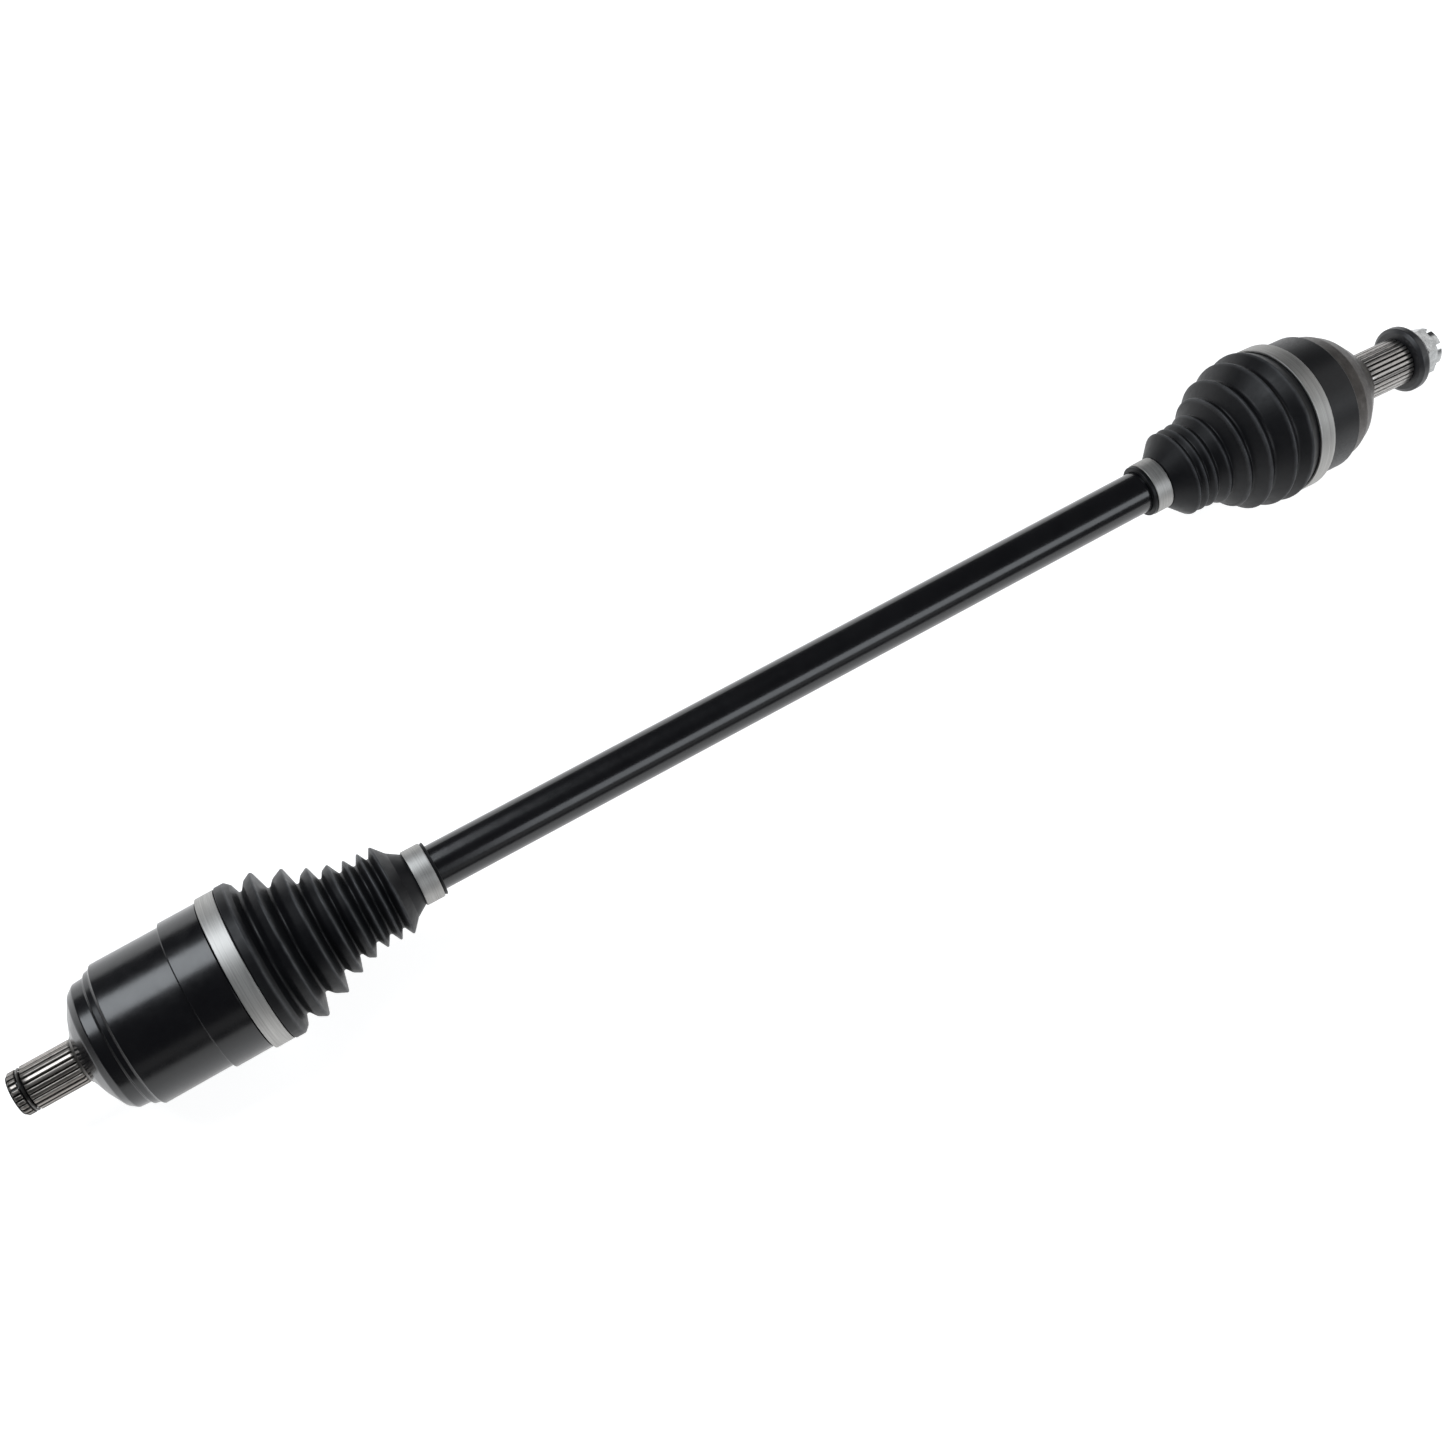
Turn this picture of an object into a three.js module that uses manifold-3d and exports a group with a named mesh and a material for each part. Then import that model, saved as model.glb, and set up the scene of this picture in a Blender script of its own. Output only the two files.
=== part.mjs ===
// Constant-velocity half shaft of a small off-road vehicle.
// Millimetres, +Z up, +X along the bar towards the wheel (outboard) end.
// The origin is on the bar's axis at the middle of the whole shaft's length.
// The shaft lies as it does on a bench: the bar is level and both ends droop a little.
import * as THREE from "three";
import { mergeVertices } from "three/addons/utils/BufferGeometryUtils.js";
import Module from "manifold-3d";

const wasm = await Module();
wasm.setup();

// ---- driving dimensions -------------------------------------------------
const DEG = Math.PI / 180;
const X_IN = -360; // inboard joint centre
const X_OUT = 349; // outboard joint centre
const DROOP_IN = 4 * DEG; // inboard housing's droop at rest
const DROOP_OUT = 9 * DEG; // outboard housing's droop at rest
const GAP = 0.3; // gap between pieces that rest on each other
const SEG = 28; // flats round every large turned piece, so nested pieces keep an even gap

const BAR_R = 13; // solid bar
const BAR_SPLINE_R = 11; // splined seat for the inner races
const IN_BALL_R = 8.7;
const IN_BALL_PCR = 27.5; // ball centres from the joint centre
const IN_GROOVE_R = 9.75;
const IN_BORE_R = 32.2; // bore that the inboard cage slides in
const IN_CAGE_OUT = 31.6;
const OUT_BALL_R = 9.0;
const OUT_BALL_PCR = 28.5;
const OUT_GROOVE_R = 10.1;
const OUT_BORE_R = 32.2; // spherical seat in the bell
const OUT_CAGE_OUT = 31.5;
const CAGE_IN = 26.1;
const RACE_R = 25.5;
const BALLS = 6;

const IN_STUB_R = 12.5;
const IN_STUB_ROOT = 11.3;
const IN_STUB_TEETH = 24;
const OUT_STUB_R = 15;
const OUT_STUB_ROOT = 13.7;
const OUT_STUB_TEETH = 30;
const THREAD_R = 10; // M20 x 1.5 tip
const NUT_AF = 28; // castle nut across flats
const NUT_BORE_R = THREAD_R + 0.35;

// ---- helpers --------------------------------------------------------------
// A closed mesh with merged vertices, no degenerate faces, and faces pointing out.
function tidy(geometry) {
  let g = geometry.index ? geometry.toNonIndexed() : geometry.clone();
  g = new THREE.BufferGeometry().setAttribute(
    "position",
    g.getAttribute("position"),
  );
  g = mergeVertices(g, 1e-4);
  const p = g.attributes.position,
    src = g.index.array,
    tri = [];
  let volume = 0;
  const a = new THREE.Vector3(),
    b = new THREE.Vector3(),
    c = new THREE.Vector3();
  for (let i = 0; i < src.length; i += 3) {
    const [i0, i1, i2] = [src[i], src[i + 1], src[i + 2]];
    if (i0 === i1 || i1 === i2 || i0 === i2) continue;
    tri.push(i0, i1, i2);
    a.fromBufferAttribute(p, i0);
    b.fromBufferAttribute(p, i1);
    c.fromBufferAttribute(p, i2);
    volume += a.dot(b.cross(c)) / 6;
  }
  if (volume < 0)
    for (let i = 0; i < tri.length; i += 3)
      [tri[i + 1], tri[i + 2]] = [tri[i + 2], tri[i + 1]];
  g.setIndex(tri);
  return g;
}

function solid(geometry) {
  const g = tidy(geometry);
  return new wasm.Manifold(
    new wasm.Mesh({
      numProp: 3,
      vertProperties: new Float32Array(g.attributes.position.array),
      triVerts: new Uint32Array(g.index.array),
    }),
  );
}

function geometryOf(manifold) {
  const m = manifold.getMesh(),
    n = m.numProp,
    xyz = new Float32Array((m.vertProperties.length / n) * 3);
  for (let i = 0; i < xyz.length / 3; i++)
    for (let k = 0; k < 3; k++) xyz[i * 3 + k] = m.vertProperties[i * n + k];
  const g = new THREE.BufferGeometry();
  g.setAttribute("position", new THREE.BufferAttribute(xyz, 3));
  g.setIndex(new THREE.BufferAttribute(new Uint32Array(m.triVerts), 1));
  return g;
}

// Turned shape round the X axis. profile is a closed list of [x, radius];
// where it is open it starts and ends on the axis.
function turned(profile, segments, sign = 1) {
  const points = profile.map(([x, r]) => new THREE.Vector2(r, x * sign));
  if (profile[0][1] > 0) points.push(points[0].clone());
  const g = new THREE.LatheGeometry(points, segments);
  g.rotateZ(-Math.PI / 2);
  return tidy(g);
}

// A toothed rod along X from x0 to x1: vee teeth between root and crest.
function toothed(x0, x1, root, crest, teeth) {
  const shape = new THREE.Shape();
  for (let i = 0; i < teeth; i++)
    for (const [part, r] of [
      [-0.5, root],
      [0, crest],
    ]) {
      const t = ((i + part) / teeth) * 2 * Math.PI;
      const x = r * Math.cos(t),
        y = r * Math.sin(t);
      if (i === 0 && part === -0.5) shape.moveTo(x, y);
      else shape.lineTo(x, y);
    }
  shape.closePath();
  const g = new THREE.ExtrudeGeometry(shape, {
    depth: Math.abs(x1 - x0),
    bevelEnabled: false,
  });
  g.rotateY(Math.PI / 2);
  g.translate(Math.min(x0, x1), 0, 0);
  return tidy(g);
}

// Cutter for one ball track: a round section swept on an arc about the joint
// centre in the plane at angle "at" round X, from angle a0 to a1 off the
// centre plane (positive towards +X).
function trackArc(pitch, r, a0, a1, at, steps = 6) {
  class Arc extends THREE.Curve {
    getPoint(t, v = new THREE.Vector3()) {
      const a = a0 + (a1 - a0) * t;
      return v.set(Math.sin(a) * pitch, 0, Math.cos(a) * pitch);
    }
  }
  const g = new THREE.ExtrudeGeometry(ring(r, 10), {
    steps,
    extrudePath: new Arc(),
    bevelEnabled: false,
  });
  g.rotateX(at);
  return g;
}

function ring(r, n) {
  const s = new THREE.Shape();
  for (let i = 0; i < n; i++) {
    const a = ((i + 0.5) / n) * 2 * Math.PI;
    i
      ? s.lineTo(r * Math.cos(a), r * Math.sin(a))
      : s.moveTo(r * Math.cos(a), r * Math.sin(a));
  }
  s.closePath();
  return s;
}

// A straight round cutter parallel to X at angle "at" round X.
function trackStraight(pitch, r, x0, x1, at) {
  const g = new THREE.CylinderGeometry(r, r, Math.abs(x1 - x0), 12);
  g.rotateZ(Math.PI / 2);
  g.translate((x0 + x1) / 2, 0, pitch);
  g.rotateX(at);
  return g;
}

const angles = Array.from({ length: BALLS }, (_, i) => (i * 2 * Math.PI) / BALLS);

// Points of a sphere's meridian between two x positions, [x, radius].
function meridian(r, x0, x1, n) {
  return Array.from({ length: n + 1 }, (_, i) => {
    const x = x0 + ((x1 - x0) * i) / n;
    return [x, Math.sqrt(r * r - x * x)];
  });
}

const steel = { metalness: 1, roughness: 0.35 };
const materials = {
  bar: new THREE.MeshStandardMaterial({
    color: 0x0b0c0d,
    roughness: 0.22,
    metalness: 0.2,
  }),
  housing: new THREE.MeshStandardMaterial({
    color: 0x121314,
    roughness: 0.34,
    metalness: 0.3,
  }),
  rubber: new THREE.MeshStandardMaterial({
    color: 0x0d0d0e,
    roughness: 0.6,
    metalness: 0,
  }),
  clamp: new THREE.MeshStandardMaterial({ color: 0xb5b2ab, ...steel }),
  zinc: new THREE.MeshStandardMaterial({
    color: 0xd4d6d2,
    roughness: 0.28,
    metalness: 1,
  }),
  race: new THREE.MeshStandardMaterial({ color: 0x8a8a88, ...steel }),
  ball: new THREE.MeshStandardMaterial({
    color: 0xc9cacc,
    roughness: 0.08,
    metalness: 1,
  }),
  spring: new THREE.MeshStandardMaterial({
    color: 0x55565a,
    roughness: 0.4,
    metalness: 1,
  }),
  washer: new THREE.MeshStandardMaterial({
    color: 0x17171a,
    roughness: 0.4,
    metalness: 0.3,
  }),
};

function add(group, name, geometry, material) {
  const g = geometry.index ? geometry.toNonIndexed() : geometry;
  g.computeVertexNormals();
  const m = new THREE.Mesh(g, material);
  m.name = name;
  group.add(m);
  return m;
}

const axle = new THREE.Group();

// ---- bar ------------------------------------------------------------------
// Shoulders stop the races; a circlip groove lies beyond each race.
const RACE_HALF = 11;
const CLIP_X = RACE_HALF + 2.2;
const barEnd = (xj, s) => [
  [xj + s * 16.5, 0],
  [xj + s * 16.5, BAR_SPLINE_R - 0.8],
  [xj + s * 15.6, BAR_SPLINE_R],
  [xj + s * (CLIP_X + 1), BAR_SPLINE_R],
  [xj + s * (CLIP_X + 1), BAR_SPLINE_R - 1.6],
  [xj + s * (CLIP_X - 1), BAR_SPLINE_R - 1.6],
  [xj + s * (CLIP_X - 1), BAR_SPLINE_R],
  [xj - s * (RACE_HALF + 0.4), BAR_SPLINE_R],
  [xj - s * (RACE_HALF + 1.6), BAR_R],
];
add(
  axle,
  "axle_bar",
  turned([...barEnd(X_IN, -1), ...barEnd(X_OUT, 1).reverse()], SEG),
  materials.bar,
);

// ---- pieces shared by both joints ------------------------------------------
// Inner race: a ball-shaped ring with six curved tracks, bored for the bar.
function innerRace(pitch, grooveR, sweep) {
  const body = solid(
    turned(
      [
        [-RACE_HALF, BAR_SPLINE_R + GAP],
        [RACE_HALF, BAR_SPLINE_R + GAP],
        ...meridian(RACE_R, RACE_HALF, -RACE_HALF, 4),
      ],
      24,
    ),
  );
  return angles.reduce(
    (m, a) => m.subtract(solid(trackArc(pitch, grooveR, -sweep, sweep, a, 5))),
    body,
  );
}

// Cage: a spherical band with six windows.
function cage(outR, pitch, ballR) {
  const HALF = 13;
  let band = solid(
    turned(
      [
        ...meridian(CAGE_IN, -HALF, HALF, 4),
        ...meridian(outR, HALF, -HALF, 4),
      ],
      24,
    ),
  );
  for (const a of angles) {
    const w = new THREE.BoxGeometry(2 * (ballR + 0.35), 2 * (ballR + 0.55), 20);
    w.translate(0, 0, pitch + 1);
    w.rotateX(a);
    band = band.subtract(solid(w));
  }
  return band;
}

// Round wire snapped in a groove, open by a small gap.
function wireRing(radius, wire, x, gapAngle) {
  const half = gapAngle / 2;
  class Loop extends THREE.Curve {
    getPoint(t, v = new THREE.Vector3()) {
      const a = half + (2 * Math.PI - gapAngle) * t;
      return v.set(x, radius * Math.sin(a), -radius * Math.cos(a));
    }
  }
  return tidy(
    new THREE.ExtrudeGeometry(ring(wire, 5), {
      steps: 16,
      extrudePath: new Loop(),
      bevelEnabled: false,
    }),
  );
}

// Band clamp: a thin ring with a closed crimped ear standing out low on the +Y side.
function bandClamp(r0, r1, x0, x1, ear) {
  const band = solid(
    turned(
      [
        [x0, r0],
        [x1, r0],
        [x1, r1],
        [x0, r1],
      ],
      SEG,
    ),
  );
  const s = new THREE.Shape();
  s.moveTo(-ear * 0.75, -0.5);
  s.lineTo(ear * 0.75, -0.5);
  s.lineTo(ear * 0.42, ear * 0.28);
  s.lineTo(ear * 0.5, ear * 0.62);
  s.lineTo(-ear * 0.5, ear * 0.62);
  s.lineTo(-ear * 0.42, ear * 0.28);
  s.closePath();
  const e = new THREE.ExtrudeGeometry(s, {
    depth: x1 - x0 - 1.6,
    bevelEnabled: false,
  });
  // section in the plane across X, standing out along +Y
  e.applyMatrix4(
    new THREE.Matrix4().makeBasis(
      new THREE.Vector3(0, 0, 1),
      new THREE.Vector3(0, 1, 0),
      new THREE.Vector3(-1, 0, 0),
    ),
  );
  e.translate(x1 - 0.8, r1 - 0.2, 0);
  e.rotateX((-3 * 2 * Math.PI) / SEG);
  return geometryOf(band.add(solid(e)));
}

// Rubber boot: an outer and an inner profile turned round an axis that bends
// from the bar's line at "from" to the housing's at "to", about the centre.
// Profile stations are distances from the joint centre along the axis.
function boot(centre, side, droop, from, to, outer, inner, segments) {
  const points = [...outer, ...inner.slice().reverse()].map(
    ([d, r]) => new THREE.Vector2(r, d),
  );
  points.push(points[0].clone());
  const g = new THREE.LatheGeometry(points, segments);
  const p = g.attributes.position;
  for (let i = 0; i < p.count; i++) {
    const d = p.getY(i),
      across = p.getX(i),
      up = p.getZ(i);
    const t = Math.min(1, Math.max(0, (from - d) / (from - to)));
    const a = droop * t * t * (3 - 2 * t);
    // the boot lies on the bar's side of the centre, so its mouth tips up
    p.setXYZ(
      i,
      centre + side * (-d * Math.cos(a) + up * Math.sin(a)),
      across,
      d * Math.sin(a) + up * Math.cos(a),
    );
  }
  return tidy(g);
}

// ---- outboard joint: fixed centre -------------------------------------------
const hub = new THREE.Group(); // local +X points to the wheel
hub.position.set(X_OUT, 0, 0);
hub.rotation.y = DROOP_OUT;
axle.add(hub);
const outCage = new THREE.Group();
outCage.position.set(X_OUT, 0, 0);
outCage.rotation.y = DROOP_OUT / 2;
axle.add(outCage);

const SEAT_X = 57; // start of the outboard stub
const SPLINE_END = 96.5;
const TIP_X = 122.5;
{
  let bell = solid(
    turned(
      [
        [TIP_X, 0],
        [TIP_X, THREAD_R - 1.2],
        [TIP_X - 1.4, THREAD_R],
        [SPLINE_END, THREAD_R],
        [SPLINE_END, OUT_STUB_ROOT],
        [SEAT_X, OUT_STUB_ROOT],
        [SEAT_X, 18],
        [53, 20.8],
        [45, 28.4],
        [35.6, 35.9],
        [27.6, 39.6],
        [18.6, 41.4],
        [17.2, 43],
        [-4.2, 43],
        [-4.6, 42.2],
        [-17.6, 42.2],
        [-18, 41.6],
        [-18, 36.5],
        [-8.5, 31.05],
        ...meridian(OUT_BORE_R, -8, 20.5, 6).slice(1),
        [24, 17],
        [25, 0],
      ],
      SEG,
    ),
  );
  for (const a of angles)
    bell = bell.subtract(
      solid(trackArc(OUT_BALL_PCR, OUT_GROOVE_R, -46 * DEG, 33 * DEG, a, 7)),
    );
  bell = bell.add(
    solid(
      toothed(SEAT_X - 0.5, SPLINE_END, OUT_STUB_ROOT - 0.2, OUT_STUB_R, OUT_STUB_TEETH),
    ),
  );
  add(hub, "outboard_housing", geometryOf(bell), materials.housing);
}
add(
  axle,
  "outboard_inner_race",
  geometryOf(innerRace(OUT_BALL_PCR, OUT_GROOVE_R, 32 * DEG)).translate(
    X_OUT,
    0,
    0,
  ),
  materials.race,
);
add(
  outCage,
  "outboard_cage",
  geometryOf(cage(OUT_CAGE_OUT, OUT_BALL_PCR, OUT_BALL_R)),
  materials.race,
);
angles.forEach((a, i) => {
  const b = add(
    outCage,
    `outboard_ball_${i + 1}`,
    tidy(new THREE.SphereGeometry(OUT_BALL_R, 10, 6)),
    materials.ball,
  );
  b.position.set(0, -OUT_BALL_PCR * Math.sin(a), OUT_BALL_PCR * Math.cos(a));
});
add(
  axle,
  "outboard_race_circlip",
  wireRing(BAR_SPLINE_R - 0.2, 0.85, X_OUT + CLIP_X, 40 * DEG),
  materials.spring,
);

const OUT_LIP = 112.6; // boot's small end, from the joint centre
const OUT_BEND = [62, 18.5];
add(
  axle,
  "outboard_boot",
  boot(
    X_OUT,
    1,
    DROOP_OUT,
    ...OUT_BEND,
    [
      [OUT_LIP, 15.9],
      [110.4, 15.9],
      [110.3, 15.2],
      [99.2, 15.2],
      [98.6, 16.6],
      [87.6, 26.9],
      [85, 24.2],
      [81.8, 27],
      [79, 23.8],
      [75.4, 27.4],
      [72, 24.4],
      [66.8, 29.2],
      [63.6, 27.4],
      [57.4, 36.2],
      [54.4, 33.4],
      [48, 42.6],
      [44, 38.8],
      [35.6, 46.4],
      [32, 42.6],
      [25.2, 47.6],
      [18.6, 44.9],
      [5.4, 44.9],
    ],
    [
      [OUT_LIP, BAR_R + GAP],
      [97, BAR_R + GAP],
      [86, 22.4],
      [73, 22.4],
      [64, 25.4],
      [54, 31.2],
      [44, 36.6],
      [36, 40],
      [32, 40.6],
      [17.8, 42.2 + GAP],
      [5.4, 42.2 + GAP],
    ],
    SEG,
  ),
  materials.rubber,
);
add(
  hub,
  "outboard_boot_clamp_large",
  bandClamp(44.9 + GAP, 46.4, -18, -6.6, 9),
  materials.clamp,
);
add(
  axle,
  "outboard_boot_clamp_small",
  bandClamp(15.2 + GAP, 16.3, X_OUT - 110, X_OUT - 99.5, 6),
  materials.clamp,
);

// Thick domed washer, pulled against the splines' end by the castle nut.
const WASHER_X = SPLINE_END + GAP;
add(
  hub,
  "hub_washer",
  turned(
    [
      [WASHER_X, THREAD_R + 0.35],
      [WASHER_X, 18.6],
      [WASHER_X + 1.6, 20.9],
      [WASHER_X + 6.4, 20.9],
      [WASHER_X + 11.4, 16.4],
      [WASHER_X + 11.4, THREAD_R + 0.35],
    ],
    28,
  ),
  materials.washer,
);
{
  const NUT_X = WASHER_X + 11.4 + GAP;
  const HEX_H = 9.2,
    CROWN_H = 6,
    SLOT = 3.6;
  const hex = new THREE.CylinderGeometry(
    NUT_AF / Math.sqrt(3),
    NUT_AF / Math.sqrt(3),
    HEX_H,
    6,
  );
  hex.rotateZ(-Math.PI / 2);
  hex.translate(NUT_X + HEX_H / 2, 0, 0);
  const cone = turned(
    [
      [NUT_X, 0],
      [NUT_X, NUT_AF / 2 - 0.4],
      [NUT_X + 1.4, NUT_AF / Math.sqrt(3) + 0.1],
      [NUT_X + HEX_H - 1.4, NUT_AF / Math.sqrt(3) + 0.1],
      [NUT_X + HEX_H, NUT_AF / 2 - 0.4],
      [NUT_X + HEX_H, 0],
    ],
    24,
  );
  const crown = turned(
    [
      [NUT_X + HEX_H - 0.5, 0],
      [NUT_X + HEX_H - 0.5, 12.9],
      [NUT_X + HEX_H + CROWN_H - 0.8, 12.9],
      [NUT_X + HEX_H + CROWN_H, 12.1],
      [NUT_X + HEX_H + CROWN_H, 0],
    ],
    24,
  );
  const bore = turned(
    [
      [NUT_X - 1, 0],
      [NUT_X - 1, NUT_BORE_R],
      [NUT_X + 20, NUT_BORE_R],
      [NUT_X + 20, 0],
    ],
    24,
  );
  let nut = solid(hex).intersect(solid(cone)).add(solid(crown)).subtract(solid(bore));
  for (let i = 0; i < 3; i++) {
    const slot = new THREE.BoxGeometry(CROWN_H + 2, SLOT, 40);
    slot.translate(NUT_X + HEX_H + CROWN_H / 2 + 1.4, 0, 0);
    slot.rotateX(((i * 60 + 30) * Math.PI) / 180);
    nut = nut.subtract(solid(slot));
  }
  add(hub, "castle_nut", geometryOf(nut), materials.zinc);
}

// ---- inboard joint: plunging ---------------------------------------------------
const cup = new THREE.Group(); // local -X points to the gearbox
cup.position.set(X_IN, 0, 0);
cup.rotation.y = -DROOP_IN;
axle.add(cup);
const inCage = new THREE.Group();
inCage.position.set(X_IN, 0, 0);
inCage.rotation.y = -DROOP_IN / 2;
axle.add(inCage);

const IN_MOUTH = -25; // stations from the joint centre towards the gearbox
const WIRE_T = -22.8;
{
  let shell = solid(
    turned(
      [
        [114.7, 0],
        [114.7, IN_STUB_ROOT - 1],
        [113.5, IN_STUB_ROOT],
        [109.1, IN_STUB_ROOT],
        [109.1, IN_STUB_ROOT - 1.2],
        [106.9, IN_STUB_ROOT - 1.2],
        [106.9, IN_STUB_ROOT],
        [76.8, IN_STUB_ROOT],
        [76.8, 15.2],
        [73.2, 23.8],
        [68, 33.2],
        [64, 36.3],
        [57.4, 36.8],
        [56.4, 38.6],
        [53.4, 39.2],
        [52, 41],
        [13.2, 41],
        [12.7, 42.8],
        [-8.4, 42.8],
        [-8.8, 41.2],
        [IN_MOUTH, 41.2],
        [IN_MOUTH, 34],
        [WIRE_T - 1.0, IN_BORE_R + 0.4],
        [WIRE_T - 1.0, IN_BORE_R + 1.9],
        [WIRE_T + 1.0, IN_BORE_R + 1.9],
        [WIRE_T + 1.0, IN_BORE_R],
        [44, IN_BORE_R],
        [47.5, 26],
        [47.5, 0],
      ],
      SEG,
      -1,
    ),
  );
  for (const a of angles)
    shell = shell.subtract(
      solid(trackStraight(IN_BALL_PCR, IN_GROOVE_R, -36, 26, a)),
    );
  shell = shell.add(
    solid(toothed(-106.9, -76.5, IN_STUB_ROOT - 0.2, IN_STUB_R, IN_STUB_TEETH)),
  );
  shell = shell.add(
    solid(toothed(-113.7, -109.1, IN_STUB_ROOT - 0.2, IN_STUB_R - 0.2, IN_STUB_TEETH)),
  );
  add(cup, "inboard_housing", geometryOf(shell), materials.housing);
}
add(
  cup,
  "inboard_stub_circlip",
  wireRing(IN_STUB_ROOT + 0.35, 0.8, -108, 50 * DEG),
  materials.spring,
);
add(
  cup,
  "inboard_retaining_ring",
  wireRing(IN_BORE_R + 0.75, 0.75, -WIRE_T, 30 * DEG),
  materials.spring,
);
add(
  axle,
  "inboard_inner_race",
  geometryOf(innerRace(IN_BALL_PCR, IN_GROOVE_R, 28 * DEG)).translate(
    X_IN,
    0,
    0,
  ),
  materials.race,
);
add(
  inCage,
  "inboard_cage",
  geometryOf(cage(IN_CAGE_OUT, IN_BALL_PCR, IN_BALL_R)),
  materials.race,
);
angles.forEach((a, i) => {
  const b = add(
    inCage,
    `inboard_ball_${i + 1}`,
    tidy(new THREE.SphereGeometry(IN_BALL_R, 10, 6)),
    materials.ball,
  );
  b.position.set(0, -IN_BALL_PCR * Math.sin(a), IN_BALL_PCR * Math.cos(a));
});
add(
  axle,
  "inboard_race_circlip",
  wireRing(BAR_SPLINE_R - 0.2, 0.85, X_IN - CLIP_X, 40 * DEG),
  materials.spring,
);

const IN_BEND = [114, 25];
add(
  axle,
  "inboard_boot",
  boot(
    X_IN,
    -1,
    DROOP_IN,
    ...IN_BEND,
    [
      [124.9, 16],
      [123.4, 15.1],
      [112, 15.1],
      [105.4, 19.4],
      [99.2, 26.6],
      [95.6, 19.6],
      [92, 26.7],
      [88.2, 19.4],
      [84, 26.8],
      [80.2, 19.6],
      [76, 28.2],
      [72.2, 26.2],
      [69.4, 21.2],
      [66.2, 31.9],
      [61.6, 29.4],
      [58.2, 24.4],
      [54.9, 37.6],
      [48.6, 34.6],
      [44.4, 29.8],
      [40.2, 43.5],
      [35.2, 40.8],
      [31, 34.6],
      [28.2, 42.4],
      [25.6, 44.9],
      [20.4, 44.9],
      [20, 43.3],
      [8.8, 43.3],
    ],
    [
      [124.9, BAR_R + GAP],
      [109, BAR_R + GAP],
      [99, 17.2],
      [80, 17.2],
      [60, 22.4],
      [31, 32.4],
      [25.4, 41.2 + GAP],
      [8.8, 41.2 + GAP],
    ],
    SEG,
  ),
  materials.rubber,
);
add(
  cup,
  "inboard_boot_clamp_large",
  bandClamp(43.3 + GAP, 44.4, 9.2, 19.7, 9),
  materials.clamp,
);
add(
  axle,
  "inboard_boot_clamp_small",
  bandClamp(15.1 + GAP, 16.1, X_IN + 112.4, X_IN + 123, 6),
  materials.clamp,
);

export default axle;
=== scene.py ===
import math

import bmesh
import bpy
import numpy as np
from mathutils import Matrix, Vector


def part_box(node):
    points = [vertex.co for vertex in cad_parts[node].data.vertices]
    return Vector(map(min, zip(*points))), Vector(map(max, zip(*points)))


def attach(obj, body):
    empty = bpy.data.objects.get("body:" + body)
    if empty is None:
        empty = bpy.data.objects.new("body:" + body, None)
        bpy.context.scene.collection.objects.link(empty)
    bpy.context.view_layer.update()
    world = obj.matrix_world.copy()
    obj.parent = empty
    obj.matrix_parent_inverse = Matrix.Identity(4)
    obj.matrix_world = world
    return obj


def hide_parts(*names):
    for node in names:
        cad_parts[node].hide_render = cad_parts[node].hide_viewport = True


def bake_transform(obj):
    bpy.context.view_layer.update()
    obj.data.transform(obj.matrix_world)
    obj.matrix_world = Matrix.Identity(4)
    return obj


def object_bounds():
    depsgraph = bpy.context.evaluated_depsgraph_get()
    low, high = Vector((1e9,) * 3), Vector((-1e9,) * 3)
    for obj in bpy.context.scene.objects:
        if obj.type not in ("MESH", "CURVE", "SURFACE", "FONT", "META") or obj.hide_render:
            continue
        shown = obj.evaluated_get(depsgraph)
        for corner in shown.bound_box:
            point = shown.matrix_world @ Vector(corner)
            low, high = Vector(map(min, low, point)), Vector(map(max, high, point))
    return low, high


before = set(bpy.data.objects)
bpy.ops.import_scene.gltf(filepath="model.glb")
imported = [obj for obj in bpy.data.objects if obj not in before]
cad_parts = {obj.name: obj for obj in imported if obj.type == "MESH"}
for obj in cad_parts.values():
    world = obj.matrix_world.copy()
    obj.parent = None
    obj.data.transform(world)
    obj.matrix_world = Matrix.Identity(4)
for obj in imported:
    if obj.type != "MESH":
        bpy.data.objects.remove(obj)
size_before = [list(map(float, v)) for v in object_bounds()]

MM = 0.001
DEG = math.pi / 180

# ---- driving dimensions, in millimetres, the same as the CAD part's ----------
X_IN, X_OUT = -360.0, 349.0
DROOP_IN, DROOP_OUT = 4 * DEG, 9 * DEG
BAR_R, BAR_SPLINE_R, GAP = 13.0, 11.0, 0.3
RACE_HALF, CLIP_X = 11.0, 13.2
FLOOR_Z = size_before[0][2]

# ---- placing ------------------------------------------------------------------
HUB = Matrix.Translation((X_OUT, 0, 0)) @ Matrix.Rotation(DROOP_OUT, 4, "Y")
CUP = Matrix.Translation((X_IN, 0, 0)) @ Matrix.Rotation(-DROOP_IN, 4, "Y")
BAR = Matrix.Identity(4)


def by_matrix(m):
    a = np.array(m, float)

    def place(p):
        return (p @ a[:3, :3].T + a[:3, 3]) * MM

    return place


EAR_TURN = Matrix.Rotation(-3 * 2 * math.pi / 28, 4, "X")


def by_bend(centre, side, droop, bend):
    """Local x is the distance from the joint centre towards the bar, turned to the bar's bent line."""
    frm, to = bend

    def place(p):
        d, across, up = p[:, 0], p[:, 1], p[:, 2]
        t = np.clip((frm - d) / (frm - to), 0, 1)
        a = droop * t * t * (3 - 2 * t)
        return (
            np.stack(
                [
                    centre + side * (-d * np.cos(a) + up * np.sin(a)),
                    across,
                    d * np.sin(a) + up * np.cos(a),
                ],
                1,
            )
            * MM
        )

    return place


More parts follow.
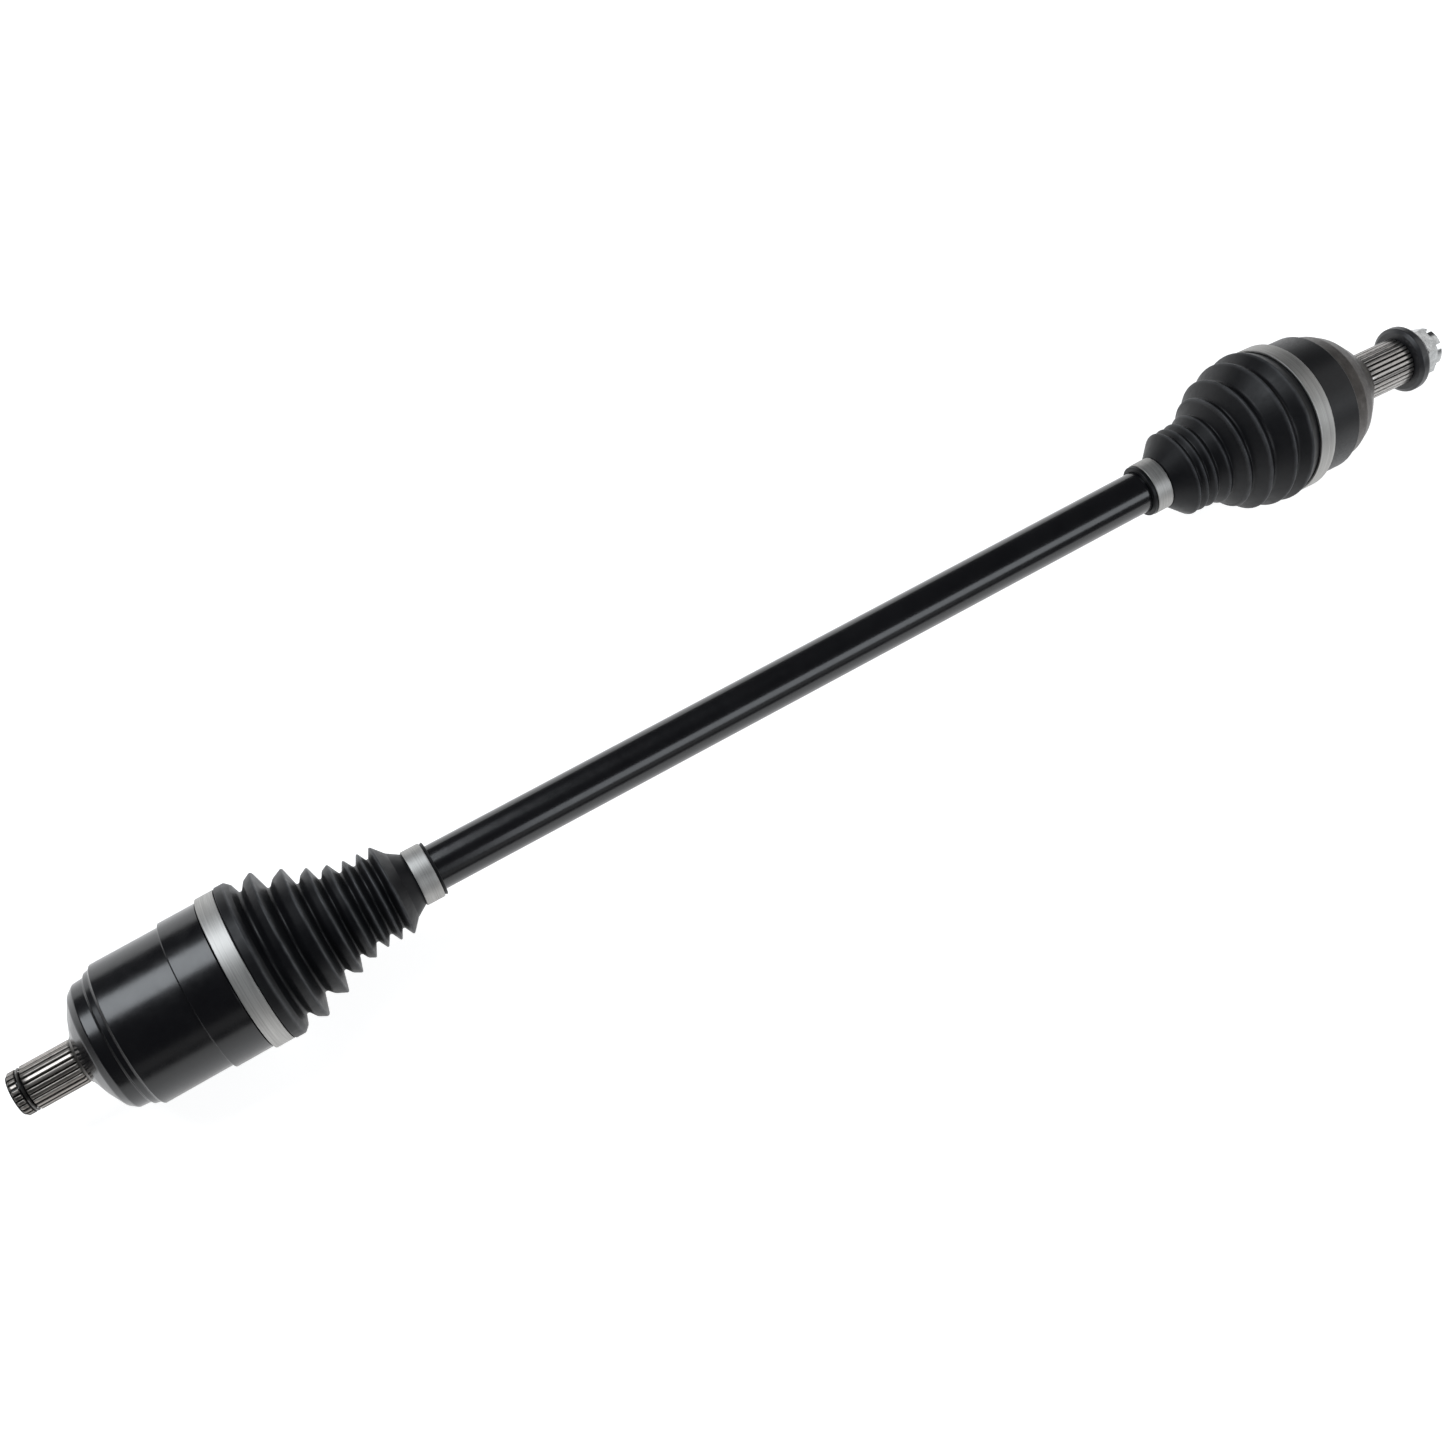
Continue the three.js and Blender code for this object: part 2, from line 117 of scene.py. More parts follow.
# ---- mesh building --------------------------------------------------------------
def fillet(pts, k=5, support=0.25):
    """A line of (x, r) or (x, r, rounding) points with each rounded corner replaced by an arc."""
    out = []
    n = len(pts)
    for i, p in enumerate(pts):
        rad = p[2] if len(p) > 2 else 0
        b = np.array(p[:2], float)
        if i in (0, n - 1) or rad <= 0:
            out.append(b)
            continue
        a, c = np.array(pts[i - 1][:2], float), np.array(pts[i + 1][:2], float)
        u, v = a - b, c - b
        lu, lv = np.linalg.norm(u), np.linalg.norm(v)
        u, v = u / lu, v / lv
        ang = math.acos(max(-1, min(1, float(u @ v))))
        if ang > math.pi - 0.03:
            out.append(b)
            continue
        t = rad / math.tan(ang / 2)
        most = 0.42 * min(lu, lv)
        if t > most:
            t = most
            rad = t * math.tan(ang / 2)
        p0, p1 = b + u * t, b + v * t
        w = (u + v) / np.linalg.norm(u + v)
        centre = b + w * (rad / math.sin(ang / 2))
        a0 = math.atan2(*(p0 - centre)[::-1])
        a1 = math.atan2(*(p1 - centre)[::-1])
        da = (a1 - a0 + math.pi) % (2 * math.pi) - math.pi
        s = min(support * max(rad, 0.3), 0.06 * lu)
        out.append(p0 + u * s)
        for j in range(k + 1):
            q = a0 + da * j / k
            out.append(centre + rad * np.array([math.cos(q), math.sin(q)]))
        s = min(support * max(rad, 0.3), 0.06 * lv)
        out.append(p1 + v * s)
    return [tuple(map(float, q)) for q in out]


def finish_mesh(name, co, faces, local, mat, sharp):
    me = bpy.data.meshes.new(name)
    me.from_pydata(co.tolist(), [], faces)
    me.update()
    bm = bmesh.new()
    bm.from_mesh(me)
    if bm.calc_volume(signed=True) < 0:
        bmesh.ops.reverse_faces(bm, faces=bm.faces)
    bm.to_mesh(me)
    bm.free()
    at = me.attributes.new("loc", "FLOAT_VECTOR", "POINT")
    at.data.foreach_set("vector", (np.asarray(local, float) * MM).astype(np.float32).ravel())
    me.polygons.foreach_set("use_smooth", [True] * len(me.polygons))
    me.set_sharp_from_angle(angle=sharp * DEG)
    o = bpy.data.objects.new(name, me)
    bpy.context.scene.collection.objects.link(o)
    if mat is not None:
        me.materials.append(mat)
    return o


def lathe(name, prof, n, place, mat, rad=None, sharp=34, spin=0.0):
    """A closed body: the profile turned round local x. Ends on the axis are closed by poles, a profile off the axis by joining its ends.
    rad(x, r, theta) may move the radius, for teeth, tracks, threads and flats."""
    prof = [p for i, p in enumerate(prof) if i == 0 or math.dist(p, prof[i - 1]) > 1e-5]
    th = np.arange(n) * 2 * math.pi / n + spin
    co, rows = [], []
    count = 0
    for x, r in prof:
        if r < 1e-6:
            co.append(np.array([[x, 0, 0]], float))
            rows.append((count,))
            count += 1
            continue
        rr = np.full(n, float(r)) if rad is None else rad(x, r, th)
        co.append(np.stack([np.full(n, float(x)), rr * np.sin(th), rr * np.cos(th)], 1))
        rows.append(tuple(range(count, count + n)))
        count += n
    local = np.concatenate(co)
    faces = []
    pairs = list(zip(rows, rows[1:]))
    if len(rows[0]) > 1 and len(rows[-1]) > 1:
        pairs.append((rows[-1], rows[0]))
    for a, b in pairs:
        if len(a) == 1 and len(b) == 1:
            continue
        for i in range(n):
            j = (i + 1) % n
            if len(a) == 1:
                faces.append((a[0], b[j], b[i]))
            elif len(b) == 1:
                faces.append((a[i], a[j], b[0]))
            else:
                faces.append((a[i], a[j], b[j], b[i]))
    return finish_mesh(name, place(local), faces, local, mat, sharp)


def prism(name, outline, x0, x1, place, mat, bevel=0.25, sharp=34):
    """An outline of (y, z) points drawn out along local x, with its edges rounded."""
    n = len(outline)
    local = np.array([[x0, y, z] for y, z in outline] + [[x1, y, z] for y, z in outline], float)
    faces = [(i, (i + 1) % n, n + (i + 1) % n, n + i) for i in range(n)]
    faces += [tuple(range(n))[::-1], tuple(range(n, 2 * n))]
    me = bpy.data.meshes.new(name + "_raw")
    me.from_pydata(local.tolist(), [], faces)
    bm = bmesh.new()
    bm.from_mesh(me)
    bmesh.ops.recalc_face_normals(bm, faces=bm.faces)
    if bevel:
        rim = [e for e in bm.edges if e.calc_face_angle(0) > 50 * DEG]
        bmesh.ops.bevel(bm, geom=rim, offset=bevel, segments=2, profile=0.6, affect="EDGES", clamp_overlap=True)
    bmesh.ops.triangulate(bm, faces=[f for f in bm.faces if len(f.verts) > 4])
    local = np.array([v.co[:] for v in bm.verts])
    bm.verts.index_update()
    faces = [tuple(v.index for v in f.verts) for f in bm.faces]
    bm.free()
    bpy.data.meshes.remove(me)
    return finish_mesh(name, place(local), faces, local, mat, sharp)


def frac(a):
    return a - np.floor(a)


def tooth(theta, count, groove=0.14):
    """1 on a tooth's crest and 0 in a groove, with sloping flanks."""
    t = np.abs(2 * frac(theta * count / (2 * math.pi)) - 1)
    return np.interp(1 - t, [0, groove, groove + 0.24, 1], [0, 0, 1, 1])


def soft(t):
    t = np.clip(t, 0, 1)
    return t * t * (3 - 2 * t)


# ---- materials --------------------------------------------------------------------
class Mat:
    """A node material. Everything follows the piece's own rest coordinates, in metres."""

    def __init__(self, name, colour, rough, metal=0.0, spec=0.5, coat=0.0, coat_rough=0.1, sheen=0.0, sheen_rough=0.5):
        self.m = bpy.data.materials.new(name)
        self.m.use_nodes = True
        self.t = self.m.node_tree
        self.b = self.t.nodes["Principled BSDF"]
        s = self.b.inputs
        s["Base Color"].default_value = (*colour, 1)
        s["Roughness"].default_value = rough
        s["Metallic"].default_value = metal
        s["Specular IOR Level"].default_value = spec
        s["Coat Weight"].default_value = coat
        s["Coat Roughness"].default_value = coat_rough
        s["Sheen Weight"].default_value = sheen
        s["Sheen Roughness"].default_value = sheen_rough
        self.where = self.t.nodes.new("ShaderNodeAttribute")
        self.where.attribute_type = "GEOMETRY"
        self.where.attribute_name = "loc"
        self.loc = self.where.outputs["Vector"]

    def node(self, kind, **values):
        n = self.t.nodes.new(kind)
        for k, v in values.items():
            setattr(n, k, v)
        return n

    def link(self, a, b):
        self.t.links.new(a, b)

    def stretched(self, sx, sy, sz):
        n = self.node("ShaderNodeVectorMath", operation="MULTIPLY")
        self.link(self.loc, n.inputs[0])
        n.inputs[1].default_value = (sx, sy, sz)
        return n.outputs[0]

    def noise(self, scale, detail=4.0, rough=0.55, vector=None, distortion=0.0):
        n = self.node("ShaderNodeTexNoise")
        n.inputs["Scale"].default_value = scale
        n.inputs["Detail"].default_value = detail
        n.inputs["Roughness"].default_value = rough
        n.inputs["Distortion"].default_value = distortion
        self.link(vector or self.loc, n.inputs["Vector"])
        return n.outputs["Fac"]

    def range(self, value, a, b, c, d, kind="LINEAR"):
        n = self.node("ShaderNodeMapRange", interpolation_type=kind)
        n.inputs[1].default_value, n.inputs[2].default_value = a, b
        n.inputs[3].default_value, n.inputs[4].default_value = c, d
        self.link(value, n.inputs[0])
        return n.outputs[0]

    def maths(self, op, a, b=None):
        n = self.node("ShaderNodeMath", operation=op)
        for i, v in enumerate((a, b)):
            if v is None:
                continue
            if isinstance(v, (int, float)):
                n.inputs[i].default_value = v
            else:
                self.link(v, n.inputs[i])
        return n.outputs[0]

    def ramp(self, value, *stops):
        n = self.node("ShaderNodeValToRGB")
        el = n.color_ramp.elements
        while len(el) < len(stops):
            el.new(0.5)
        for e, (pos, col) in zip(el, stops):
            e.position = pos
            e.color = (*col, 1)
        self.link(value, n.inputs[0])
        return n.outputs[0]

    def mix(self, fac, a, b):
        n = self.node("ShaderNodeMix", data_type="RGBA")
        self.link(fac, n.inputs[0])
        for v, s in ((a, n.inputs[6]), (b, n.inputs[7])):
            if isinstance(v, tuple):
                s.default_value = (*v, 1)
            else:
                self.link(v, s)
        return n.outputs[2]

    def axis(self, which):
        n = self.node("ShaderNodeSeparateXYZ")
        self.link(self.loc, n.inputs[0])
        return n.outputs[which]

    def radius(self):
        flat = self.stretched(0, 1, 1)
        n = self.node("ShaderNodeVectorMath", operation="LENGTH")
        self.link(flat, n.inputs[0])
        return n.outputs["Value"]

    def colour(self, out):
        self.link(out, self.b.inputs["Base Color"])

    def rough(self, out):
        self.link(out, self.b.inputs["Roughness"])

    def bump(self, *layers):
        last = None
        for height, strength, distance in layers:
            n = self.node("ShaderNodeBump")
            n.inputs["Strength"].default_value = strength
            n.inputs["Distance"].default_value = distance
            self.link(height, n.inputs["Height"])
            if last is not None:
                self.link(last, n.inputs["Normal"])
            last = n.outputs[0]
        self.link(last, self.b.inputs["Normal"])


def gloss_black():
    m = Mat("bar_gloss_black", (0.006, 0.006, 0.007), 0.24, 0.0, 0.45, coat=0.35, coat_rough=0.12)
    cloud = m.noise(55, 5, 0.6)
    m.colour(m.ramp(cloud, (0.3, (0.002, 0.002, 0.003)), (0.7, (0.005, 0.005, 0.006))))
    m.rough(m.range(m.noise(240, 4, 0.6), 0.3, 0.7, 0.20, 0.26))
    m.bump((m.noise(420, 3, 0.5), 0.03, 0.0002), (m.noise(2600, 2, 0.5), 0.02, 0.00004))
    return m.m


def housing_black():
    m = Mat("inboard_housing_black", (0.005, 0.005, 0.006), 0.24, 0.0, 0.5)
    cloud = m.noise(38, 5, 0.6)
    m.colour(m.ramp(cloud, (0.3, (0.002, 0.002, 0.003)), (0.7, (0.005, 0.005, 0.006))))
    m.rough(m.range(m.noise(160, 5, 0.65), 0.3, 0.72, 0.19, 0.27))
    turned = m.noise(1.0, 2, 0.5, m.stretched(5200, 30, 30))
    m.bump((m.noise(320, 4, 0.55), 0.07, 0.0002), (turned, 0.06, 0.00003), (m.noise(2400, 2, 0.5), 0.06, 0.00004))
    return m.m


def outboard_black():
    m = Mat("outboard_housing_black", (0.010, 0.010, 0.011), 0.36, 0.0, 0.35)
    wander = m.range(m.noise(90, 4, 0.6), 0.2, 0.8, -0.0008, 0.0008)
    along = m.maths("ADD", m.axis(0), wander)
    bare = m.range(along, 0.0165, 0.0200, 0, 1, "SMOOTHSTEP")
    paint = m.ramp(m.noise(45, 5, 0.6), (0.3, (0.004, 0.004, 0.005)), (0.7, (0.009, 0.009, 0.010)))
    skin = m.ramp(
        m.noise(130, 6, 0.65),
        (0.28, (0.040, 0.035, 0.032)),
        (0.52, (0.070, 0.063, 0.058)),
        (0.75, (0.115, 0.106, 0.098)),
    )
    m.colour(m.mix(bare, paint, skin))
    m.link(m.range(bare, 0, 1, 0.0, 0.75), m.b.inputs["Metallic"])
    grain = m.noise(700, 4, 0.6)
    m.rough(m.range(grain, 0.25, 0.75, 0.32, 0.50))
    turned = m.noise(1.0, 2, 0.5, m.stretched(3800, 25, 25))
    m.bump((m.noise(260, 4, 0.6), 0.16, 0.0002), (turned, 0.12, 0.00004), (grain, 0.14, 0.00005))
    return m.m


def rubber(name, crests, scale=1.0):
    """Black rubber with painted highlight lines: paler along the crests of the folds (crests are distances from the
    joint centre, in mm).
    """
    m = Mat(name, (0.007, 0.007, 0.008), 0.44, 0.0, 0.22)
    cloud = m.noise(48 * scale, 5, 0.6)
    dust = m.noise(900, 5, 0.7)
    base = m.mix(
        m.range(dust, 0.55, 0.80, 0.0, 0.22),
        m.ramp(cloud, (0.3, (0.003, 0.003, 0.004)), (0.7, (0.008, 0.008, 0.009))),
        (0.022, 0.023, 0.026),
    )
    span, wide = 130.0, 1.3
    stops = [(0.0, (0, 0, 0))]
    for c in sorted(crests):
        stops += [((c - wide) / span, (0, 0, 0)), (c / span, (1, 1, 1)), ((c + wide) / span, (0, 0, 0))]
    wander = m.range(m.noise(70, 3, 0.5), 0.25, 0.75, -0.00035, 0.00035)
    line = m.ramp(m.range(m.maths("ADD", m.axis(0), wander), 0, span * MM, 0, 1), *stops)
    # painted highlight: pale lines along the fold crests, broken up by noise
    painted_crest_light = m.maths("MULTIPLY", line, m.range(m.noise(160, 5, 0.6), 0.28, 0.66, 0.45, 1.0))
    m.colour(m.mix(painted_crest_light, base, (0.068, 0.069, 0.073)))
    m.rough(m.range(m.noise(230, 5, 0.6), 0.25, 0.75, 0.36, 0.50))
    m.bump((m.noise(300, 4, 0.55), 0.10, 0.0003), (m.noise(3200, 3, 0.6), 0.20, 0.00004))
    return m.m


def brushed():
    m = Mat("clamp_stainless", (0.56, 0.545, 0.52), 0.30, 1.0)
    fine = m.noise(1.0, 3, 0.6, m.stretched(9500, 55, 55))
    wide = m.noise(1.0, 2, 0.5, m.stretched(1500, 14, 14))
    both = m.maths("ADD", m.maths("MULTIPLY", fine, 0.65), m.maths("MULTIPLY", wide, 0.35))
    m.colour(
        m.ramp(both, (0.30, (0.25, 0.245, 0.236)), (0.5, (0.395, 0.388, 0.375)), (0.72, (0.56, 0.552, 0.536)))
    )
    m.rough(m.range(both, 0.3, 0.7, 0.46, 0.60))
    m.bump((fine, 0.30, 0.00005), (m.noise(500, 3, 0.5), 0.06, 0.0001))
    return m.m


def teeth(name, root, crest, light):
    """Cut steel, coloured by depth: bright along the crests and darkened into the grooves as painted shade."""
    m = Mat(name, (0.3, 0.28, 0.26), 0.36, 1.0)
    high = m.range(m.radius(), root * MM, crest * MM, 0, 1)
    painted_crest_light = m.maths("ADD", high, m.range(m.noise(420, 5, 0.65), 0.25, 0.75, -0.22, 0.22))
    # painted shade: the colour darkens with depth into the grooves
    m.colour(
        m.ramp(
            painted_crest_light,
            (0.10, (0.022, 0.021, 0.019)),
            (0.48, (0.11, 0.104, 0.096)),
            (0.80, tuple(0.72 * c for c in light)),
            (0.98, light),
        )
    )
    m.rough(m.range(painted_crest_light, 0, 1, 0.55, 0.30))
    m.bump((m.noise(1.0, 2, 0.5, m.stretched(60, 4200, 4200)), 0.12, 0.00003), (m.noise(900, 4, 0.6), 0.14, 0.00005))
    return m.m


def steel(name, dark, light, rough_lo, rough_hi, turned=4200):
    m = Mat(name, light, (rough_lo + rough_hi) / 2, 1.0)
    cloud = m.noise(150, 5, 0.62)
    m.colour(m.ramp(cloud, (0.3, dark), (0.72, light)))
    ring = m.noise(1.0, 3, 0.5, m.stretched(turned, 40, 40))
    m.rough(m.range(m.noise(600, 4, 0.6), 0.3, 0.7, rough_lo, rough_hi))
    m.bump((ring, 0.10, 0.00003), (m.noise(700, 4, 0.6), 0.10, 0.00005))
    return m.m


def washer_finish():
    m = Mat("washer_black", (0.014, 0.014, 0.016), 0.40, 0.0, 0.5, coat=0.15, coat_rough=0.3)
    cloud = m.noise(170, 5, 0.6)
    m.colour(m.ramp(cloud, (0.3, (0.010, 0.010, 0.011)), (0.7, (0.024, 0.024, 0.027))))
    m.rough(m.range(m.noise(700, 4, 0.6), 0.3, 0.7, 0.33, 0.46))
    m.bump((m.noise(500, 4, 0.6), 0.16, 0.00012), (m.noise(3000, 2, 0.5), 0.14, 0.00004))
    return m.m


def zinc():
    m = Mat("nut_zinc", (0.66, 0.67, 0.66), 0.24, 1.0)
    cloud = m.noise(210, 6, 0.65)
    m.colour(
        m.ramp(cloud, (0.25, (0.27, 0.275, 0.275)), (0.5, (0.40, 0.405, 0.405)), (0.78, (0.54, 0.545, 0.545)))
    )
    m.rough(m.range(m.noise(520, 5, 0.6), 0.3, 0.7, 0.20, 0.34))
    m.bump((m.noise(340, 4, 0.6), 0.14, 0.0002), (m.noise(2200, 3, 0.6), 0.12, 0.00004))
    return m.m


M_BAR = gloss_black()
M_IN = housing_black()
M_OUT = outboard_black()
# the lists place the painted highlight lines on the fold crests
M_RUB_OUT = rubber("boot_rubber_outboard", [87.6, 81.8, 75.4, 66.8, 57.4, 48.0, 35.6, 25.2], 1.0)
M_RUB_IN = rubber("boot_rubber_inboard", [99.2, 92.0, 84.0, 76.0, 66.2, 54.9, 40.2, 25.8], 1.1)
M_CLAMP = brushed()
M_TEETH_IN = teeth("inboard_stub_steel", 11.3, 12.5, (0.27, 0.25, 0.23))
M_TEETH_OUT = teeth("outboard_stub_steel", 13.7, 15.0, (0.40, 0.385, 0.37))
M_RACE = steel("hardened_steel", (0.20, 0.195, 0.19), (0.36, 0.355, 0.34), 0.24, 0.40)
M_BALL = steel("ball_steel", (0.52, 0.52, 0.53), (0.68, 0.68, 0.69), 0.06, 0.14)
M_SPRING = steel("spring_steel", (0.06, 0.058, 0.055), (0.16, 0.155, 0.15), 0.30, 0.45)
M_THREAD = steel("thread_steel", (0.10, 0.095, 0.09), (0.26, 0.25, 0.24), 0.30, 0.45)
M_WASHER = washer_finish()
M_NUT = zinc()


def join_body(o, body, slot, *nodes):
    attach(o, body)
    if nodes:
        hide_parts(*nodes)
    return o


# ---- bar ------------------------------------------------------------------------
def bar_end(xj, s):
    return [
        (xj + s * 16.5, 0),
        (xj + s * 16.5, BAR_SPLINE_R - 0.8),
        (xj + s * 15.6, BAR_SPLINE_R),
        (xj + s * (CLIP_X + 1), BAR_SPLINE_R),
        (xj + s * (CLIP_X + 1), BAR_SPLINE_R - 1.6),
        (xj + s * (CLIP_X - 1), BAR_SPLINE_R - 1.6),
        (xj + s * (CLIP_X - 1), BAR_SPLINE_R),
        (xj - s * (RACE_HALF + 0.4), BAR_SPLINE_R),
        (xj - s * (RACE_HALF + 1.6), BAR_R, 0.6),
    ]


middle = [(x, BAR_R) for x in np.linspace(X_IN + 40, X_OUT - 40, 60)]
bar_line = fillet([*bar_end(X_IN, -1), *middle, *bar_end(X_OUT, 1)[::-1]])


def bar_teeth(x, r, th):
    on = (abs(x - X_IN) < 11.4 or abs(x - X_OUT) < 11.4) and abs(r - BAR_SPLINE_R) < 0.01
    return np.full(len(th), r) - (0.9 * (1 - tooth(th, 24)) if on else 0)


bar = lathe("bar", bar_line, 120, by_matrix(BAR), M_BAR, rad=bar_teeth)
join_body(bar, "shaft", "bar_gloss_black", "axle_bar")

# ---- outboard housing --------------------------------------------------------------
BALL_ANGLES = [i * math.pi / 3 for i in range(6)]


def nearest_track(th):
    """Angle from the nearest of the six ball tracks."""
    return (th + math.pi / 6) % (math.pi / 3) - math.pi / 6


def out_track(x, th):
    """How far out the round tracks, which curve about the joint centre, reach at x."""
    r = np.arange(30, 42, 0.05)[:, None]
    a = nearest_track(th)[None, :]
    z, y = r * np.cos(a), r * np.sin(a)
    inside = (np.sqrt(x * x + z * z) - 28.5) ** 2 + y * y <= 10.1**2
    best = np.where(inside, r, 0).max(0)
    return best


def out_bore(x, r, th):
    if abs(x) <= 20.51 and 24.5 < r < 37.5:
        return np.maximum(r, np.minimum(out_track(x, th), 39.2))
    return np.full(len(th), float(r))


bore = [(-18, 36.5), (-16.5, 35.6), (-15, 34.7), (-13, 33.6), (-11, 32.5), (-8.5, 31.05)]
bore += [(x, math.sqrt(32.2**2 - x * x)) for x in np.linspace(-7.5, 20.5, 20)]
bell_line = fillet(
    [
        (122.5, 0),
        (122.5, 8.4),
        (96.5, 8.4),
        (96.5, 13.4),
        (57, 13.4),
        (57, 18, 0.5),
        (53, 20.8, 2.5),
        (45, 28.4, 8),
        (35.6, 35.9, 8),
        (27.6, 39.6, 6),
        (18.6, 41.4, 0.8),
        (17.2, 43, 0.8),
        (-4.2, 43, 0.35),
        (-4.6, 42.2, 0.2),
        (-17.6, 42.2, 0.3),
        (-18, 41.6),
        *bore,
        (24, 17),
        (25, 0),
    ]
)
bell = lathe("outboard_bell", bell_line, 192, by_matrix(HUB), M_OUT, rad=out_bore)
join_body(bell, "outboard_hub", "outboard_housing_black", "outboard_housing")


def spline_sleeve(name, x0, x1, r_in, root, crest, count, place, mat, fade0, fade1, body, slot, node, per=12):
    """The toothed band of a stub. The teeth ramp up over fade0 and fade1 at its two ends."""
    xs = [x0]
    xs += list(np.linspace(x0, x0 + fade0, 7)[1:])
    xs += list(np.linspace(x0 + fade0, x1 - fade1, 8)[1:])
    xs += list(np.linspace(x1 - fade1, x1, 6)[1:])
    line = [(x, root) for x in xs] + [(x1, r_in), (x0, r_in)]

    def shape(x, r, th):
        if r < root - 0.01:
            return np.full(len(th), float(r))
        up = float(min(soft((x - x0) / fade0), soft((x1 - x) / fade1)))
        return root + (crest - root) * tooth(th, count) * up

    o = lathe(name, line, count * per, place, mat, rad=shape, sharp=60)
    return join_body(o, body, slot, node)


spline_sleeve(
    "outboard_stub_splines", 57.1, 96.5, 12.6, 13.7, 15.0, 30, by_matrix(HUB), M_TEETH_OUT, 2.6, 1.4,
    "outboard_hub", "hardened_steel", "outboard_housing",
)

# threaded tip: a helical groove of 1.5 mm pitch
def thread(x, r, th):
    if r < 9:
        return np.full(len(th), float(r))
    t = np.abs(2 * frac(x / 1.5 - th / (2 * math.pi)) - 1)
    cut = 0.85 * np.interp(t, [0, 0.12, 0.9, 1], [0, 0, 1, 1])
    end = float(soft((122.5 - x) / 1.4))
    return (r - 1.2 * (1 - end)) - cut * end


tip_line = [(x, 10.0) for x in np.arange(96.5, 122.51, 0.1875)]
tip_line = [(96.5, 7.5), *tip_line, (122.5, 7.5)]
tip = lathe("threaded_tip", tip_line, 72, by_matrix(HUB), M_THREAD, rad=thread, sharp=50)
join_body(tip, "outboard_hub", "hardened_steel", "outboard_housing")
tip_face = lathe(
    "threaded_tip_core",
    fillet([(97, 0), (97, 7.7), (122.5, 7.7), (122.5, 2.6, 0.15), (121.2, 0.9, 0.1), (121.2, 0)]),
    48,
    by_matrix(HUB),
    M_THREAD,
)
join_body(tip_face, "outboard_hub", "hardened_steel", "outboard_housing")

# ---- inboard housing -----------------------------------------------------------------
def in_track(th):
    r = np.arange(30, 40, 0.02)[:, None]
    a = nearest_track(th)[None, :]
    inside = (r * np.cos(a) - 27.5) ** 2 + (r * np.sin(a)) ** 2 <= 9.75**2
    return np.where(inside, r, 0).max(0)


_IN_TRACK = {}


def in_bore(x, r, th):
    if -36.01 <= x <= 25.5 and r < 36 and r > 32:
        key = len(th)
        if key not in _IN_TRACK:
            _IN_TRACK[key] = in_track(th)
        return np.maximum(r, _IN_TRACK[key])
    return np.full(len(th), float(r))


# distances outward from the joint centre
cup_profile = [
    (114.7, 0),
    (114.7, 10.0, 0.3),
    (113.2, 11.1, 0.3),
    (109.1, 11.1),
    (109.1, 10.3),
    (106.9, 10.3),
    (106.9, 11.1),
    (76.8, 11.1),
    (76.8, 15.2, 1.2),
    (73.2, 23.8, 3.5),
    (68, 33.2, 4.0),
    (64, 36.3, 1.5),
    (57.4, 36.8, 0.9),
    (56.4, 38.6, 0.5),
    (53.4, 39.2, 0.6),
    (52, 41, 0.7),
    (13.2, 41, 0.25),
    (12.7, 42.8, 0.5),
    (-8.4, 42.8, 0.4),
    (-8.8, 41.2, 0.2),
    (-25, 41.2, 0.5),
    (-25, 34, 0.5),
    (-23.7, 33.0, 0.1),
    (-23.6, 34.0),
    (-22.0, 34.0),
    (-21.9, 32.2),
    (-10, 32.2),
    (5, 32.2),
    (20, 32.2),
    (35.9, 32.2),
    (36.1, 32.2),
    (44, 32.2, 2),
    (47.5, 26, 2),
    (47.5, 0),
]
cup_line = [(-t, r) for t, r in fillet(cup_profile)]
cup = lathe("inboard_tulip", cup_line, 192, by_matrix(CUP), M_IN, rad=in_bore)
join_body(cup, "inboard_cup", "inboard_housing_black", "inboard_housing")

spline_sleeve(
    "inboard_stub_splines", -106.9, -76.9, 10.6, 11.3, 12.5, 24, by_matrix(CUP), M_TEETH_IN, 0.9, 3.2,
    "inboard_cup", "hardened_steel", "inboard_housing",
)
spline_sleeve(
    "inboard_stub_nose", -114.5, -109.1, 9.4, 10.9, 12.3, 24, by_matrix(CUP), M_TEETH_IN, 1.7, 0.5,
    "inboard_cup", "hardened_steel", "inboard_housing",
)
collar = lathe(
    "inboard_stub_collar",
    fillet([(-78.6, 11.0), (-78.6, 12.7, 0.4), (-76.7, 15.0, 0.3), (-76.2, 15.0), (-76.2, 11.0)]),
    128,
    by_matrix(CUP),
    M_THREAD,
)
join_body(collar, "inboard_cup", "hardened_steel", "inboard_housing")

# ---- boots -----------------------------------------------------------------------------
OUT_BEND, IN_BEND = (62, 18.5), (114, 25)
OUT_OUTER = [
    (112.6, 13.3),
    (112.6, 15.9, 0.5),
    (110.4, 15.9, 0.4),
    (110.3, 15.2, 0.1),
    (99.2, 15.2, 0.2),
    (98.6, 16.6, 0.6),
    (87.6, 26.9, 0.5),
    (85, 24.2, 0.7),
    (81.8, 27, 0.4),
    (79, 23.8, 0.8),
    (75.4, 27.4, 0.4),
    (72, 24.4, 0.9),
    (66.8, 29.2, 0.45),
    (63.6, 27.4, 0.9),
    (57.4, 36.2, 0.55),
    (54.4, 33.4, 1.1),
    (48, 42.6, 0.65),
    (44, 38.8, 1.6),
    (35.6, 46.4, 0.8),
    (32, 42.6, 1.4),
    (25.2, 47.6, 0.9),
    (18.6, 44.9, 0.6),
    (5.4, 44.9, 0.6),
    (5.4, 42.5),
]
OUT_INNER = [(112.6, 13.3), (97, 13.3), (86, 22.8), (73, 22.8), (64, 26.2), (54.4, 32.2), (44, 37.6), (36, 40.9), (32, 41.3), (17.8, 42.5), (5.4, 42.5)]
